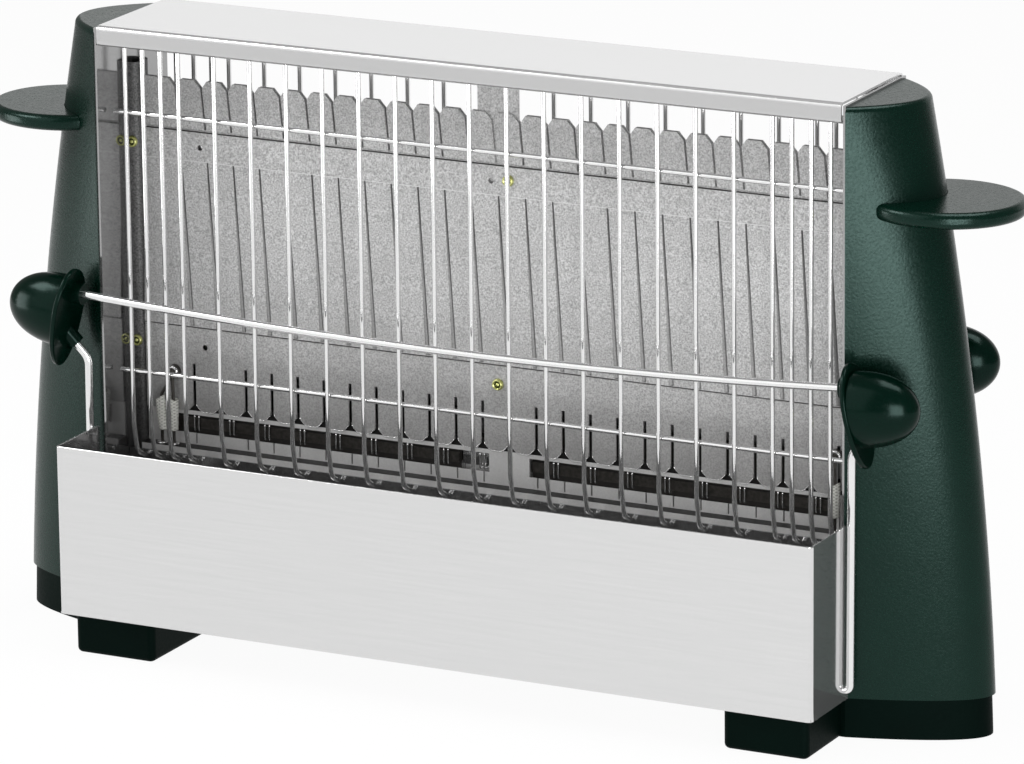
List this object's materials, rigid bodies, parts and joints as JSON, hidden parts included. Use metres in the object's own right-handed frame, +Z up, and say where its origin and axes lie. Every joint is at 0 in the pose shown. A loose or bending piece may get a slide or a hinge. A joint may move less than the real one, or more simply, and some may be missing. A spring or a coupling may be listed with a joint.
{
  "type": "toaster",
  "caption": "Upright open-sided bread toaster with slotted heat plates, wire grids, crumb trays and sprung bread clamps with knobs.",
  "frame": {"origin": "on the floor under the middle of the toaster", "axes": "+X along the length to the right as seen from the front, +Y from the front to the rear, +Z up"},
  "size_m": [0.414, 0.1174, 0.2326],
  "materials": {
    "green_plastic": "satin, fine grain",
    "dark_plastic": "satin",
    "stainless": "polished",
    "bright_sheet": "bright",
    "heat_sheet": "spangled, matt",
    "chrome_wire": "plated",
    "yellow_zinc": "passivated",
    "mica": "matt",
    "resistance_alloy": "dull",
    "fibre_sleeve": "woven"
  },
  "bodies": {
    "toaster_body": {"left_end_housing": "green_plastic", "right_end_housing": "green_plastic", "left_base": "dark_plastic", "right_base": "dark_plastic", "left_carry_handle": "green_plastic", "right_carry_handle": "green_plastic", "top_cover": "stainless", "left_side_plate": "bright_sheet", "right_side_plate": "bright_sheet", "left_end_post": "bright_sheet", "right_end_post": "bright_sheet", "front_tray": "stainless", "rear_tray": "stainless", "front_crumb_deck": "stainless", "rear_crumb_deck": "stainless", "front_grid": "chrome_wire", "rear_grid": "chrome_wire", "front_heat_plate": "heat_sheet", "rear_heat_plate": "heat_sheet", "lower_channel": "heat_sheet", "left_element_card": "mica", "right_element_card": "mica", "left_element_ribbon": "resistance_alloy", "right_element_ribbon": "resistance_alloy", "centre_strap": "heat_sheet", "base_pan": "bright_sheet", "plate_screws": "yellow_zinc", "plate_nuts": "yellow_zinc", "spacer_bush": "bright_sheet", "side_plate_screws": "yellow_zinc", "base_screws": "yellow_zinc", "lead_wires": "resistance_alloy", "lead_sleeves": "fibre_sleeve", "terminal_block": "mica", "cord_gland": "dark_plastic", "front_return_springs": "chrome_wire", "rear_return_springs": "chrome_wire"},
    "front_clamp": {"front_clamp_rod": "chrome_wire", "front_left_leg": "chrome_wire", "front_right_leg": "chrome_wire", "front_left_knob": "green_plastic", "front_right_knob": "green_plastic", "front_left_pivot_clip": "yellow_zinc", "front_right_pivot_clip": "yellow_zinc"},
    "rear_clamp": {"rear_clamp_rod": "chrome_wire", "rear_left_leg": "chrome_wire", "rear_right_leg": "chrome_wire", "rear_left_knob": "green_plastic", "rear_right_knob": "green_plastic", "rear_left_pivot_clip": "yellow_zinc", "rear_right_pivot_clip": "yellow_zinc"}
  },
  "joints": [
    {"name": "front_clamp_swing", "type": "hinge", "parent": "toaster_body", "child": "front_clamp", "pos_m": [0, -0.03, 0.02], "axis": [1, 0, 0], "range_deg": [0, 30], "stiffness_Nm_per_rad": 0.3, "springref_deg": -11.46},
    {"name": "rear_clamp_swing", "type": "hinge", "parent": "toaster_body", "child": "rear_clamp", "pos_m": [0, 0.03, 0.02], "axis": [-1, 0, 0], "range_deg": [0, 30], "stiffness_Nm_per_rad": 0.3, "springref_deg": -11.46}
  ]
}
